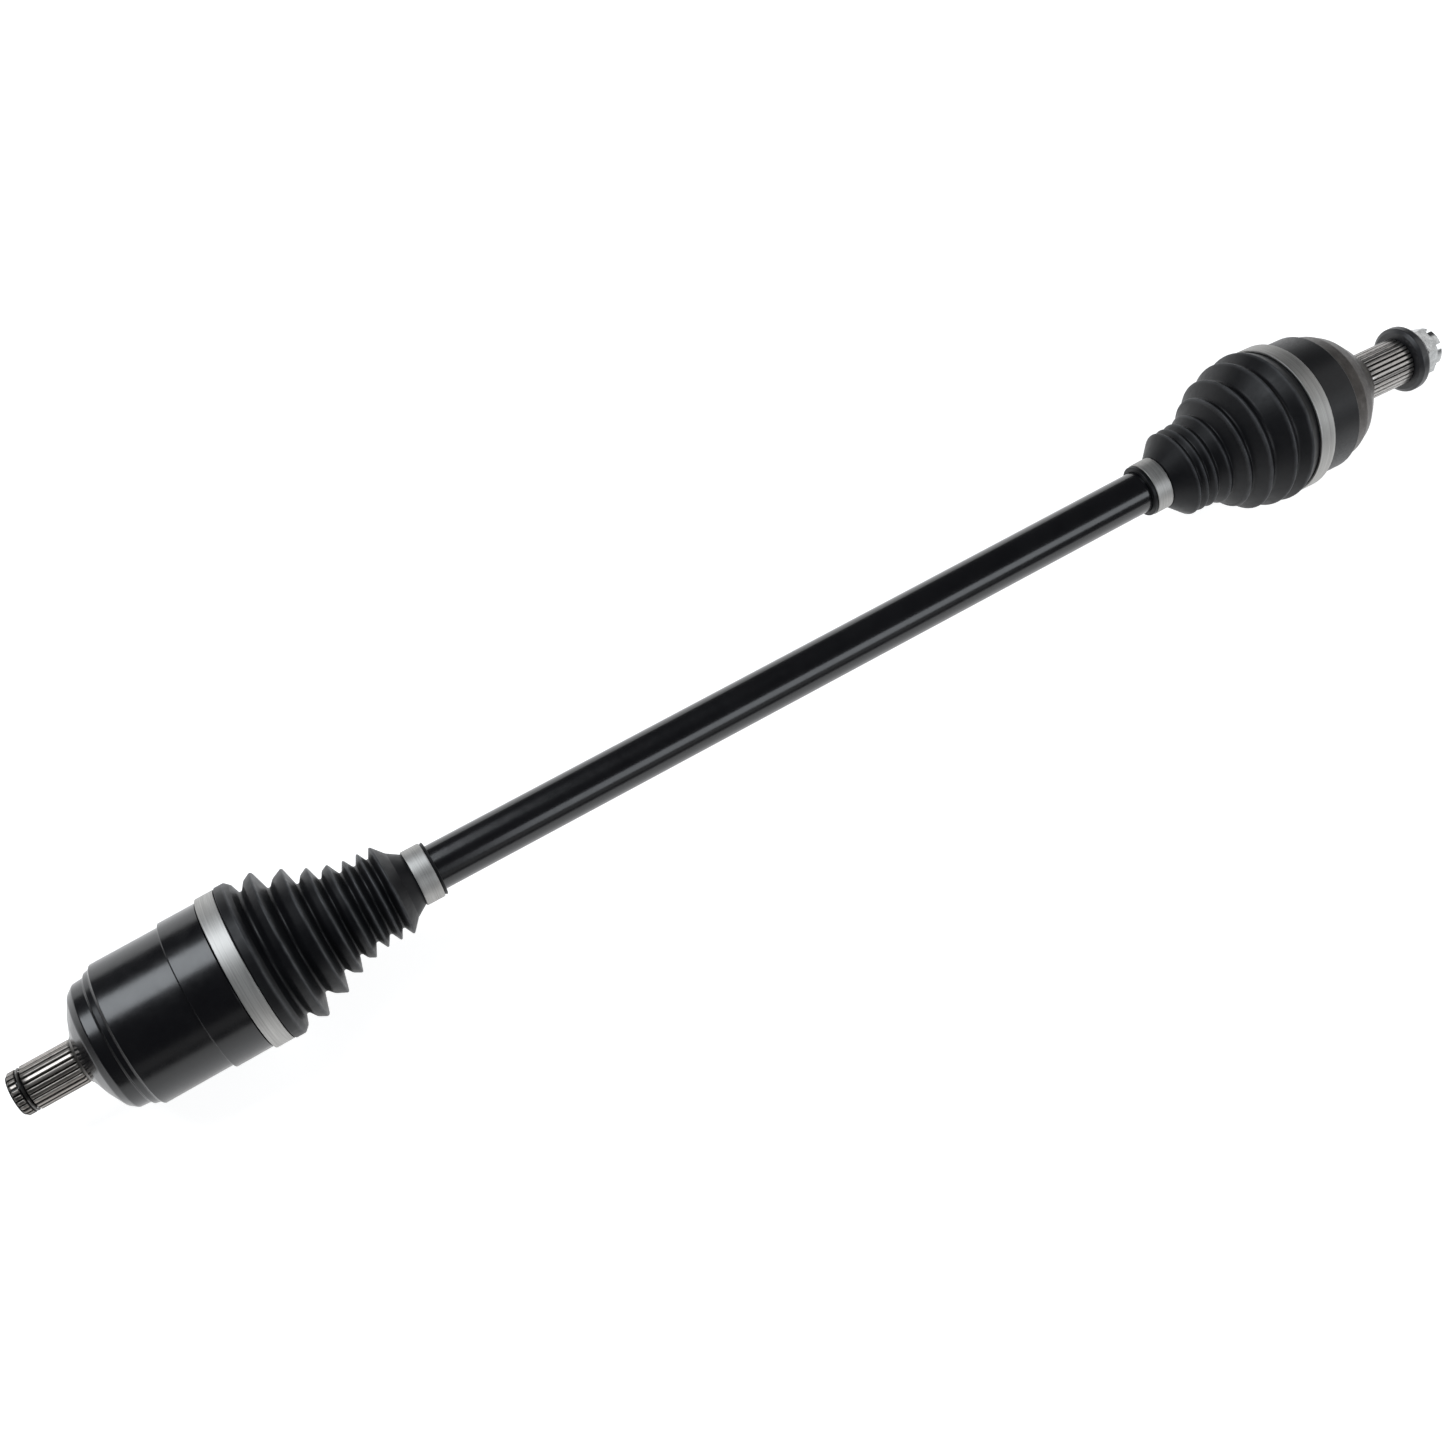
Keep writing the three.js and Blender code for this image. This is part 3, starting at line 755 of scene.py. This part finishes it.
IN_OUTER = [
    (124.9, 13.3),
    (124.9, 16, 0.5),
    (123.4, 15.1, 0.3),
    (112, 15.1, 0.3),
    (105.4, 19.4, 1.2),
    (99.2, 26.6, 0.8),
    (95.6, 19.6, 1.0),
    (92, 26.7, 0.75),
    (88.2, 19.4, 1.1),
    (84, 26.8, 0.75),
    (80.2, 19.6, 1.1),
    (76, 28.2, 0.8),
    (72.2, 26.2, 3),
    (69.4, 21.2, 1.1),
    (66.2, 31.9, 0.85),
    (61.6, 29.4, 4),
    (58.2, 24.4, 1.2),
    (54.9, 37.6, 0.9),
    (48.6, 34.6, 5),
    (44.4, 29.8, 1.4),
    (40.2, 43.5, 1.0),
    (35.2, 40.8, 4),
    (31, 34.6, 1.6),
    (28.2, 42.4, 0.9),
    (25.6, 44.9, 1.1),
    (20.4, 44.9, 0.5),
    (20, 43.3, 0.2),
    (8.8, 43.3, 0.5),
    (8.8, 41.5),
]
IN_INNER = [(124.9, 13.3), (109, 13.3), (99, 17.6), (80, 17.9), (69.4, 20.2), (58.2, 23.4), (44.4, 28.8), (31, 33.5), (25.4, 41.5), (8.8, 41.5)]


def clip_line(line, hi, lo):
    """The part of a line, which runs from a large d to a small one, between d = hi and d = lo."""
    out = []
    for (d0, r0), (d1, r1) in zip(line, line[1:]):
        if d0 == d1:
            if lo <= d0 <= hi:
                out += [(d0, r0), (d1, r1)]
            continue
        a, b = (d0, r0), (d1, r1)
        if max(d0, d1) < lo or min(d0, d1) > hi:
            continue
        at = lambda d: (d, r0 + (r1 - r0) * (d - d0) / (d1 - d0))
        if a[0] > hi:
            a = at(hi)
        if b[0] < lo:
            b = at(lo)
        out += [a, b]
    slim = [out[0]]
    for p in out[1:]:
        if math.dist(p, slim[-1]) > 1e-4:
            slim.append(p)
    return slim


def dense(line, step):
    out = [line[0]]
    for a, b in zip(line, line[1:]):
        k = max(1, int(math.ceil(math.dist(a, b) / step)))
        out += [(a[0] + (b[0] - a[0]) * i / k, a[1] + (b[1] - a[1]) * i / k) for i in range(1, k + 1)]
    return out


def boot(name, centre, side, droop, bend, outer, inner, cuts, bodies, mat, node, n):
    """The boot in pieces, one for each joint that it crosses, each set in the bar's rest bend."""
    place = by_bend(centre, side, droop, bend)
    out_line = fillet(outer, k=5)
    # the end faces are part of the outer line, so keep its ends at the bore
    in_line = [tuple(map(float, p)) for p in inner]
    for i, (a, b) in enumerate(bodies):
        hi, lo = cuts[i], cuts[i + 1]
        o_part = dense(clip_line(out_line, hi, lo), 2.2)
        i_part = dense(clip_line(in_line, hi, lo), 4.0)
        ring = o_part + i_part[::-1]
        o = lathe(f"{name}_{i + 1}", ring, n, place, mat, sharp=50)
        pad = min(1.2, 0.3 * (hi - lo))
        s = place(np.array([[min(hi, cuts_start[name][i]) - (pad if i else 0), 0, 0]], float))[0]
        e = place(np.array([[max(lo, cuts_end[name][i]) + (pad if i < len(bodies) - 1 else 0), 0, 0]], float))[0]
        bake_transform(o)
        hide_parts(node)


OUT_BODIES = [
    ("shaft", "outboard_ball_upper"),
    ("outboard_ball_upper", "outboard_cage_set"),
    ("outboard_cage_set", "outboard_ball_lower"),
    ("outboard_ball_lower", "outboard_hub"),
]
IN_BODIES = [
    ("shaft", "inboard_ball_upper"),
    ("inboard_ball_upper", "inboard_cage_set"),
    ("inboard_cage_set", "inboard_ball_lower"),
    ("inboard_ball_lower", "inboard_boot_set"),
    ("inboard_boot_set", "inboard_cup"),
]
OUT_CUTS = [112.6, 59.0, 45.2, 33.4, 5.4]
IN_CUTS = [124.9, 66.0, 58.4, 50.8, 45.6, 8.8]
cuts_start = {"outboard_boot": [87, 59.0, 45.2, 33.4], "inboard_boot": [98, 66.0, 58.4, 50.8, 45.6]}
cuts_end = {"outboard_boot": [59.0, 45.2, 33.4, 18.6], "inboard_boot": [66.0, 58.4, 50.8, 45.6, 25.4]}
boot("outboard_boot", X_OUT, 1, DROOP_OUT, OUT_BEND, OUT_OUTER, OUT_INNER, OUT_CUTS, OUT_BODIES, M_RUB_OUT, "outboard_boot", 144)
boot("inboard_boot", X_IN, -1, DROOP_IN, IN_BEND, IN_OUTER, IN_INNER, IN_CUTS, IN_BODIES, M_RUB_IN, "inboard_boot", 144)


# ---- band clamps ----------------------------------------------------------------------------
def offset_strip(points, half):
    """A strip's outline: a centreline of (z, y) points thickened by half on both sides."""
    p = np.array(points, float)
    t = np.gradient(p, axis=0)
    t /= np.linalg.norm(t, axis=1)[:, None]
    nrm = np.stack([-t[:, 1], t[:, 0]], 1)
    return [tuple(q) for q in np.concatenate([p + nrm * half, (p - nrm * half)[::-1]])]


def band_clamp(name, r0, r1, x0, x1, ear, place, body, node, n):
    edge = min(0.35, 0.4 * (r1 - r0))
    line = fillet(
        [
            ((x0 + x1) / 2, r0),
            (x0, r0),
            (x0, r1 - 0.05, edge),
            (x0 + 1.0, r1, 0.5),
            *[(x0 + 1.0 + (x1 - x0 - 2.0) * i / 4, r1) for i in range(1, 4)],
            (x1 - 1.0, r1, 0.5),
            (x1, r1 - 0.05, edge),
            (x1, r0),
        ],
        k=4,
    )
    band = lathe(name, line, n, place, M_CLAMP)
    join_body(band, body, "clamp_stainless", node)
    # the crimped ear, a loop of the same strip standing out on the +Y side
    half = 0.42 if ear > 7 else 0.34
    e = ear
    loop = [
        (-0.86 * e, 0.00 * e),
        (-0.62 * e, 0.03 * e),
        (-0.47 * e, 0.12 * e),
        (-0.41 * e, 0.26 * e),
        (-0.44 * e, 0.40 * e),
        (-0.43 * e, 0.50 * e),
        (-0.34 * e, 0.565 * e),
        (-0.12 * e, 0.59 * e),
        (0.12 * e, 0.59 * e),
        (0.34 * e, 0.565 * e),
        (0.43 * e, 0.50 * e),
        (0.44 * e, 0.40 * e),
        (0.41 * e, 0.26 * e),
        (0.47 * e, 0.12 * e),
        (0.62 * e, 0.03 * e),
        (0.86 * e, 0.00 * e),
    ]
    centre = [(r1 + half - 0.25 + y - (math.sqrt(max(r1 * r1, 1)) - math.sqrt(max(r1 * r1 - z * z, 1))), z) for z, y in loop]
    strip = offset_strip(centre, half)
    loop_o = prism(name + "_ear", strip, x0 + 0.8, x1 - 0.8, place, M_CLAMP, bevel=0.12)
    join_body(loop_o, body, "clamp_stainless", node)
    # the lapped tail of the strip, beside the ear
    arc = [90 + a for a in np.linspace(10, 52, 15)] if ear > 7 else [90 + a for a in np.linspace(16, 78, 15)]
    t = 0.4
    lap = [((r1 + t) * math.sin(a * DEG), (r1 + t) * math.cos(a * DEG)) for a in arc]
    lap += [((r1 - 0.2) * math.sin(a * DEG), (r1 - 0.2) * math.cos(a * DEG)) for a in arc[::-1]]
    tail = prism(name + "_tail", lap, x0 + 1.2, x1 - 1.2, place, M_CLAMP, bevel=0.1)
    join_body(tail, body, "clamp_stainless", node)


band_clamp("outboard_clamp_large", 45.2, 46.4, -18, -6.6, 9, by_matrix(HUB @ EAR_TURN), "outboard_hub", "outboard_boot_clamp_large", 192)
band_clamp("outboard_clamp_small", 15.5, 16.3, X_OUT - 110, X_OUT - 99.5, 6, by_matrix(BAR @ EAR_TURN), "shaft", "outboard_boot_clamp_small", 128)
band_clamp("inboard_clamp_large", 43.6, 44.4, 9.2, 19.7, 9, by_matrix(CUP @ EAR_TURN), "inboard_cup", "inboard_boot_clamp_large", 192)
band_clamp("inboard_clamp_small", 15.4, 16.1, X_IN + 112.4, X_IN + 123, 6, by_matrix(BAR @ EAR_TURN), "shaft", "inboard_boot_clamp_small", 128)

# ---- washer and castle nut ---------------------------------------------------------------------
washer = lathe(
    "hub_washer_dished",
    fillet(
        [
            (99, 10.35),
            (96.8, 10.35, 0.4),
            (96.8, 18.6, 0.5),
            (98.4, 20.9, 1.0),
            (103.2, 20.9, 2.6),
            (108.2, 16.4, 1.6),
            (108.2, 10.35, 0.4),
        ],
        k=6,
    ),
    144,
    by_matrix(HUB),
    M_WASHER,
)
join_body(washer, "outboard_hub", "washer_black", "hub_washer")

NUT_X, HEX_H, CROWN_H, CROWN_R, NUT_BORE = 108.5, 9.2, 6.0, 12.9, 10.35


def nut_shape(x, r, th):
    if r < 12 or x > NUT_X + HEX_H + 0.05:
        return np.full(len(th), float(r))
    a = (th + math.pi / 6) % (math.pi / 3) - math.pi / 6
    flat = 14.0 / np.cos(a)
    # each end's corners are turned off by a 30 degree cone
    lo = 15.0 + (x - NUT_X) / math.tan(30 * DEG)
    hi = 14.1 + (NUT_X + HEX_H - x) / math.tan(30 * DEG)
    return np.minimum(np.minimum(flat, lo), hi)


levels = sorted(
    set(
        [NUT_X + 0.001]
        + list(np.linspace(NUT_X + 0.05, NUT_X + 0.9, 6))
        + list(np.linspace(NUT_X + 2, NUT_X + HEX_H - 2.2, 4))
        + list(np.linspace(NUT_X + HEX_H - 1.6, NUT_X + HEX_H - 0.02, 8))
    )
)
nut_line = [(NUT_X + 1.0, NUT_BORE), (NUT_X, NUT_BORE + 0.8)]
nut_line += [(x, 14.0) for x in levels]
nut_line += fillet(
    [
        (NUT_X + HEX_H, CROWN_R + 0.5),
        (NUT_X + HEX_H + 0.15, CROWN_R, 0.2),
        (NUT_X + HEX_H + CROWN_H, CROWN_R, 0.8),
        (NUT_X + HEX_H + CROWN_H, NUT_BORE + 0.7, 0.2),
        (NUT_X + HEX_H + CROWN_H - 0.9, NUT_BORE),
    ]
)
nut = lathe("castle_nut_zinc", nut_line, 240, by_matrix(BAR), M_NUT, rad=nut_shape)
for i in range(3):
    slot = prism(
        f"slot_cutter_{i}",
        [(-1.8, -20), (1.8, -20), (1.8, 20), (-1.8, 20)],
        NUT_X + HEX_H + CROWN_H - 5.2,
        NUT_X + HEX_H + CROWN_H + 3,
        by_matrix(Matrix.Rotation((30 + 60 * i) * DEG, 4, "X")),
        None,
        bevel=0,
    )
    mod = nut.modifiers.new("slot", "BOOLEAN")
    mod.operation = "DIFFERENCE"
    mod.solver = "EXACT"
    mod.object = slot
    dg = bpy.context.evaluated_depsgraph_get()
    cut = bpy.data.meshes.new_from_object(nut.evaluated_get(dg), depsgraph=dg)
    nut.modifiers.clear()
    old = nut.data
    nut.data = cut
    bpy.data.meshes.remove(old)
    gone = slot.data
    bpy.data.objects.remove(slot)
    bpy.data.meshes.remove(gone)
bm = bmesh.new()
bm.from_mesh(nut.data)
bmesh.ops.remove_doubles(bm, verts=bm.verts, dist=2e-6)
rim = [
    e
    for e in bm.edges
    if len(e.link_faces) == 2
    and e.calc_face_angle(0) > 55 * DEG
    and min(v.co.x for v in e.verts) > (NUT_X + HEX_H + 0.8) * MM
]
bmesh.ops.bevel(bm, geom=rim, offset=0.22 * MM, segments=2, profile=0.5, affect="EDGES", clamp_overlap=True)
local = np.array([v.co[:] for v in bm.verts]) / MM
co = by_matrix(HUB)(local)
for v, p in zip(bm.verts, co):
    v.co = p
bm.to_mesh(nut.data)
bm.free()
nut.data.name = "castle_nut_zinc"
if nut.data.attributes.get("loc"):
    nut.data.attributes.remove(nut.data.attributes["loc"])
at = nut.data.attributes.new("loc", "FLOAT_VECTOR", "POINT")
at.data.foreach_set("vector", (local * MM).astype(np.float32).ravel())
nut.data.materials.clear()
nut.data.materials.append(M_NUT)
nut.data.polygons.foreach_set("material_index", [0] * len(nut.data.polygons))
nut.data.polygons.foreach_set("use_smooth", [True] * len(nut.data.polygons))
nut.data.set_sharp_from_angle(angle=30 * DEG)
join_body(nut, "castle_nut_set", "nut_zinc", "castle_nut")


# ---- balls, finer than the frame's --------------------------------------------------------------
def fine_ball(name, node, radius, body):
    lo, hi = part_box(node)
    c = (lo + hi) / 2 / MM
    arc = [(-radius * math.cos(a), radius * math.sin(a)) for a in np.linspace(0, math.pi, 25)]
    arc[0], arc[-1] = (-radius, 0), (radius, 0)
    o = lathe(name, arc, 48, by_matrix(Matrix.Translation(c)), M_BALL, sharp=80)
    join_body(o, body, "ball_steel", node)


BODY_OF = {1: "ball_upper", 4: "ball_lower"}
for side, radius in (("outboard", 9.0), ("inboard", 8.7)):
    for i in range(1, 7):
        fine_ball(f"{side}_joint_ball_{i}", f"{side}_ball_{i}", radius, f"{side}_{BODY_OF.get(i, 'cage_set')}")

# ---- the frame's own pieces that stay ------------------------------------------------------------
KEEP = {
    "outboard_inner_race": M_RACE,
    "inboard_inner_race": M_RACE,
    "outboard_cage": M_RACE,
    "inboard_cage": M_RACE,
    "outboard_race_circlip": M_SPRING,
    "inboard_race_circlip": M_SPRING,
    "inboard_stub_circlip": M_SPRING,
    "inboard_retaining_ring": M_SPRING,
}
for name, mat in KEEP.items():
    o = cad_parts[name]
    own = mat.copy()
    own.name = mat.name + "_" + name
    for nd in list(own.node_tree.nodes):
        if nd.bl_idname == "ShaderNodeAttribute":
            tc = own.node_tree.nodes.new("ShaderNodeTexCoord")
            for l in list(nd.outputs["Vector"].links):
                own.node_tree.links.new(tc.outputs["Object"], l.to_socket)
            own.node_tree.nodes.remove(nd)
    if not o.material_slots:
        o.data.materials.append(own)
    else:
        for s in o.material_slots:
            s.material = own

# ---- floor, light and camera ---------------------------------------------------------------------
floor_me = bpy.data.meshes.new("floor")
S = 6.0
floor_me.from_pydata([(-S, -S, 0), (S, -S, 0), (S, S, 0), (-S, S, 0)], [], [(0, 1, 2, 3)])
floor = bpy.data.objects.new("floor", floor_me)
bpy.context.scene.collection.objects.link(floor)
floor.location = (0, 0, FLOOR_Z - 0.0004)
fm = bpy.data.materials.new("floor_white")
fm.use_nodes = True
fb = fm.node_tree.nodes["Principled BSDF"]
fb.inputs["Base Color"].default_value = (0.55, 0.55, 0.55, 1)
fb.inputs["Emission Color"].default_value = (1, 1, 1, 1)
fb.inputs["Emission Strength"].default_value = 0.86
fb.inputs["Roughness"].default_value = 0.9
fb.inputs["Specular IOR Level"].default_value = 0.1
floor_me.materials.append(fm)

world = bpy.data.worlds.new("studio")
bpy.context.scene.world = world
world.use_nodes = True
world.node_tree.nodes["Background"].inputs[0].default_value = (0.93, 0.96, 1.0, 1)
world.node_tree.nodes["Background"].inputs[1].default_value = 0.07

BETA, PSI, THETA = 15 * DEG, math.atan(1 / 3.75), 28.094 * DEG
N = Vector((0, -math.sin(BETA), math.cos(BETA)))
XV = Vector((1, 0, 0))
V = Vector((0, -math.cos(BETA), -math.sin(BETA)))


def softbox(name, direction, distance, w, h, power, colour=(1, 1, 1), aim=(0, 0, 0), spin_to=XV):
    d = Vector(direction).normalized()
    light = bpy.data.lights.new(name, "AREA")
    light.shape = "RECTANGLE"
    light.size, light.size_y = w, h
    light.energy = power
    light.color = colour
    o = bpy.data.objects.new(name, light)
    x = (spin_to - d * spin_to.dot(d)).normalized()
    y = d.cross(x)
    o.matrix_world = Matrix((x, y, d)).transposed().to_4x4()
    o.location = Vector(aim) + d * distance
    bpy.context.scene.collection.objects.link(o)
    return o


up_side = -V
cold = (0.90, 0.95, 1.0)
# broad box behind and above the inboard end
softbox("key_inboard", N * math.cos(47 * DEG) + up_side * math.sin(47 * DEG), 1.7, 1.3, 1.05, 27, cold, aim=(-0.80, 0, 0))
# long narrow box in front of the bar, towards the outboard end
softbox("bar_strip", N * math.cos(30 * DEG) - up_side * math.sin(30 * DEG), 1.7, 1.9, 0.80, 13, cold, aim=(0.92, 0, 0))
# box beyond the outboard end, which catches the crests of the folds
softbox(
    "outboard_rim", N * math.cos(60 * DEG) + XV * math.sin(60 * DEG), 1.5, 1.5, 0.55, 3.6, (1, 1, 1), aim=(0.33, 0, 0), spin_to=up_side
)
softbox("fill", N * math.cos(55 * DEG) - up_side * math.sin(55 * DEG), 2.4, 2.2, 0.7, 1.5)

cam_data = bpy.data.cameras.new("camera")
cam = bpy.data.objects.new("camera", cam_data)
bpy.context.scene.collection.objects.link(cam)
ahead = -N * math.cos(PSI) + XV * math.sin(PSI)
r1 = XV * math.cos(PSI) + N * math.sin(PSI)
right = r1 * math.cos(THETA) + V * math.sin(THETA)
up = r1 * math.sin(THETA) - V * math.cos(THETA)
cam.matrix_world = Matrix((right, up, -ahead)).transposed().to_4x4()
cam.location = Vector((-0.308, 0, 0)) + N * 1.084
cam_data.sensor_width = 36
cam_data.lens = 49.296
cam_data.shift_x = -0.0374
cam_data.shift_y = -0.0257
cam_data.clip_start, cam_data.clip_end = 0.01, 30
bpy.context.scene.camera = cam
bpy.context.scene.view_settings.view_transform = "Standard"

bpy.context.view_layer.update()
